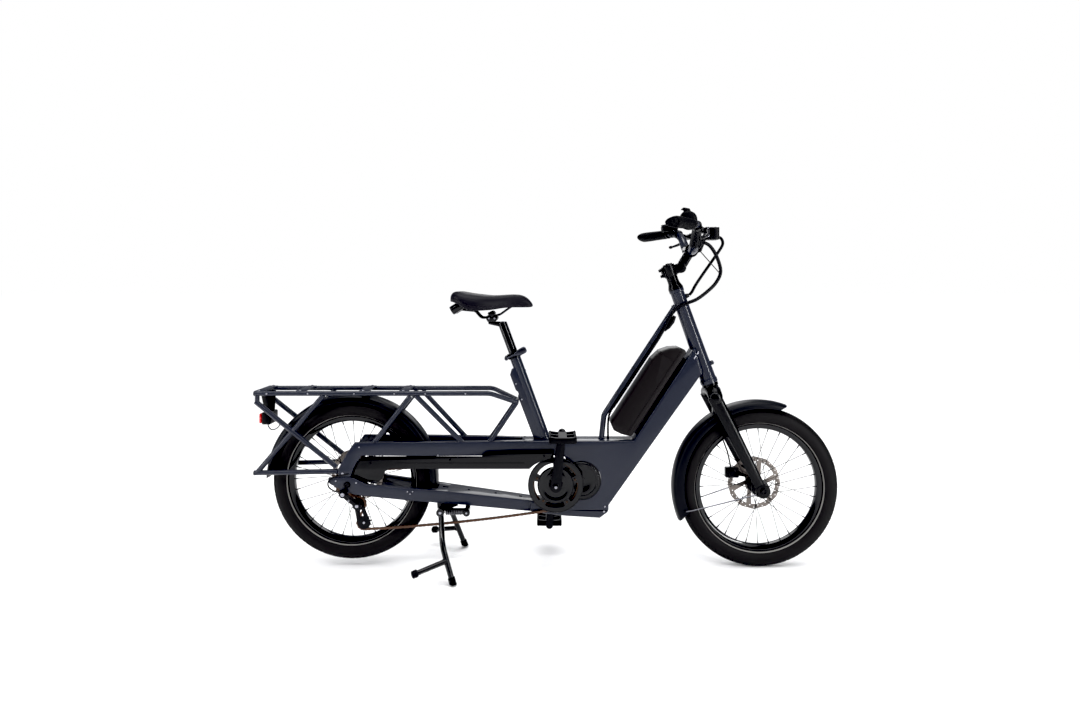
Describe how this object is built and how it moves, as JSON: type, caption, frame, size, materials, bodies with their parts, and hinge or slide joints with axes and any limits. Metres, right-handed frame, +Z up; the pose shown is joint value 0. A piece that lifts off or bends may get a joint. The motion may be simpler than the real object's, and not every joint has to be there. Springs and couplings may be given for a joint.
{
  "type": "longtail cargo e-bicycle",
  "caption": "Longtail cargo bicycle with a mid motor, low rear rack, upright bar, fenders and lamps, parked on its centre stand.",
  "frame": {"origin": "on the ground, under the middle of the bounding box's footprint", "axes": "+X forward, the way the bicycle travels; +Y to the rider's left; +Z up; the chain is on the -Y side"},
  "size_m": [1.914, 0.6342, 1.1691],
  "materials": {
    "frame_paint": "fine satin powder coat, dark slate blue",
    "black_metal": "satin black paint on alloy and steel",
    "black_plastic": "fine moulded grain",
    "tyre_rubber": "matt tread, light strip at the bead",
    "grip_rubber": "matt, soft",
    "saddle_cover": "fine grained synthetic cover",
    "cable_sleeve": "matt sleeve",
    "brushed_steel": "turned and stamped steel",
    "chain_steel": "oiled brown steel",
    "satin_aluminium": "satin",
    "red_lens": "clear red"
  },
  "bodies": {
    "frame": {"head_tube": "frame_paint", "down_tube": "frame_paint", "seat_tube": "frame_paint", "top_stay": "frame_paint", "upper_beam_right": "frame_paint", "upper_beam_left": "frame_paint", "lower_beams": "frame_paint", "rack_deck": "frame_paint", "rack_stay_right": "frame_paint", "rack_stay_left": "frame_paint", "tail_light": "black_plastic", "tail_lens": "red_lens", "rear_fender": "black_plastic", "seat_clamp": "black_metal", "motor_housing": "black_metal", "chain_guard": "black_plastic", "chain": "chain_steel", "derailleur": "black_metal", "rear_caliper": "black_metal", "stand_spring": "brushed_steel", "rear_axle": "brushed_steel", "battery": "black_plastic", "cable_bundle": "cable_sleeve"},
    "crank": {"crank_right": "black_metal", "crank_left": "black_metal", "chainring": "brushed_steel", "ring_guard": "black_plastic"},
    "pedal_right": {"pedal_right": "black_plastic"},
    "pedal_left": {"pedal_left": "black_plastic"},
    "rear_wheel": {"rear_tyre": "tyre_rubber", "rear_rim": "black_metal", "rear_hub": "black_metal", "rear_rotor": "brushed_steel"},
    "cassette": {"cassette": "brushed_steel"},
    "derailleur_cage": {"derailleur_cage": "black_metal"},
    "guide_pulley": {"guide_pulley": "black_plastic"},
    "tension_pulley": {"tension_pulley": "black_plastic"},
    "stand": {"stand_legs": "black_metal"},
    "seat": {"seatpost": "black_metal", "saddle_rails": "black_metal", "saddle": "saddle_cover"},
    "seat_clamp_lever": {"seat_clamp_lever": "satin_aluminium"},
    "steering": {"fork": "black_metal", "front_fender": "black_plastic", "front_axle": "brushed_steel", "stem": "black_metal", "handlebar": "black_metal", "grip_right": "grip_rubber", "grip_left": "grip_rubber", "display": "black_plastic", "headlight": "black_plastic", "front_caliper": "black_metal", "headlight_cable": "cable_sleeve"},
    "brake_lever_right": {"brake_lever_right": "black_metal"},
    "brake_lever_left": {"brake_lever_left": "black_metal"},
    "shift_lever": {"shift_lever": "black_plastic"},
    "front_wheel": {"front_tyre": "tyre_rubber", "front_rim": "black_metal", "front_hub": "black_metal", "front_rotor": "brushed_steel"}
  },
  "joints": [
    {"name": "steering_turn", "type": "hinge", "parent": "frame", "child": "steering", "pos_m": [0.53325, 0, 0.6077], "axis": [-0.3361, 0, 0.9418], "range_deg": [-60, 60], "deforming": ["cable_bundle", "headlight_cable"]},
    {"name": "front_wheel_spin", "type": "hinge", "parent": "steering", "child": "front_wheel", "pos_m": [0.69329, 0, 0.26368], "axis": [0, -1, 0], "continuous": true},
    {"name": "rear_wheel_spin", "type": "hinge", "parent": "frame", "child": "rear_wheel", "pos_m": [-0.65075, 0, 0.2887], "axis": [0, -1, 0], "continuous": true},
    {"name": "crank_spin", "type": "hinge", "parent": "frame", "child": "crank", "pos_m": [0.02125, 0, 0.2827], "axis": [0, -1, 0], "continuous": true},
    {"name": "pedal_right_spin", "type": "hinge", "parent": "crank", "child": "pedal_right", "pos_m": [0.04106, -0.135, 0.45658], "axis": [0, -1, 0], "continuous": true},
    {"name": "pedal_left_spin", "type": "hinge", "parent": "crank", "child": "pedal_left", "pos_m": [0.00144, 0.135, 0.10883], "axis": [0, -1, 0], "continuous": true},
    {"name": "cassette_spin", "type": "hinge", "parent": "frame", "child": "cassette", "pos_m": [-0.65075, 0, 0.2887], "axis": [0, -1, 0], "continuous": true},
    {"name": "cage_swing", "type": "hinge", "parent": "frame", "child": "derailleur_cage", "pos_m": [-0.62075, -0.045, 0.2187], "axis": [0, -1, 0], "range_deg": [-12, 15], "stiffness_Nm_per_rad": 0.5, "deforming": ["chain"]},
    {"name": "guide_pulley_spin", "type": "hinge", "parent": "derailleur_cage", "child": "guide_pulley", "pos_m": [-0.62075, -0.045, 0.2187], "axis": [0, -1, 0], "continuous": true},
    {"name": "tension_pulley_spin", "type": "hinge", "parent": "derailleur_cage", "child": "tension_pulley", "pos_m": [-0.60275, -0.045, 0.1587], "axis": [0, -1, 0], "continuous": true},
    {"name": "stand_fold", "type": "hinge", "parent": "frame", "child": "stand", "pos_m": [-0.35075, 0, 0.1997], "axis": [0, 1, 0], "range_deg": [0, 95], "deforming": ["stand_spring"]},
    {"name": "seatpost_slide", "type": "slide", "parent": "frame", "child": "seat", "axis": [-0.3469, 0, 0.9379], "range_m": [-0.07, 0.03]},
    {"name": "seat_lever_swing", "type": "hinge", "parent": "frame", "child": "seat_clamp_lever", "pos_m": [-0.14107, -0.019, 0.68907], "axis": [0.3469, 0, -0.9379], "range_deg": [0, 150]},
    {"name": "brake_lever_left_pull", "type": "hinge", "parent": "steering", "child": "brake_lever_left", "pos_m": [0.48925, 0.152, 1.0997], "axis": [0.6197, 0.4268, 0.6587], "range_deg": [0, 16], "stiffness_Nm_per_rad": 1, "springref_deg": -8.59},
    {"name": "brake_lever_right_pull", "type": "hinge", "parent": "steering", "child": "brake_lever_right", "pos_m": [0.48925, -0.152, 1.0997], "axis": [-0.6197, 0.4268, -0.6587], "range_deg": [0, 16], "stiffness_Nm_per_rad": 1, "springref_deg": -8.59},
    {"name": "shift_lever_push", "type": "hinge", "parent": "steering", "child": "shift_lever", "pos_m": [0.42425, -0.177, 1.1516], "axis": [0, 0, -1], "range_deg": [0, 18], "stiffness_Nm_per_rad": 0.2, "springref_deg": -8.59}
  ],
  "couplings": [
    {"joint": "cassette_spin", "follows": "crank_spin", "ratio": 2.2222},
    {"joint": "guide_pulley_spin", "follows": "crank_spin", "ratio": -3.6364},
    {"joint": "tension_pulley_spin", "follows": "crank_spin", "ratio": 3.6364}
  ]
}
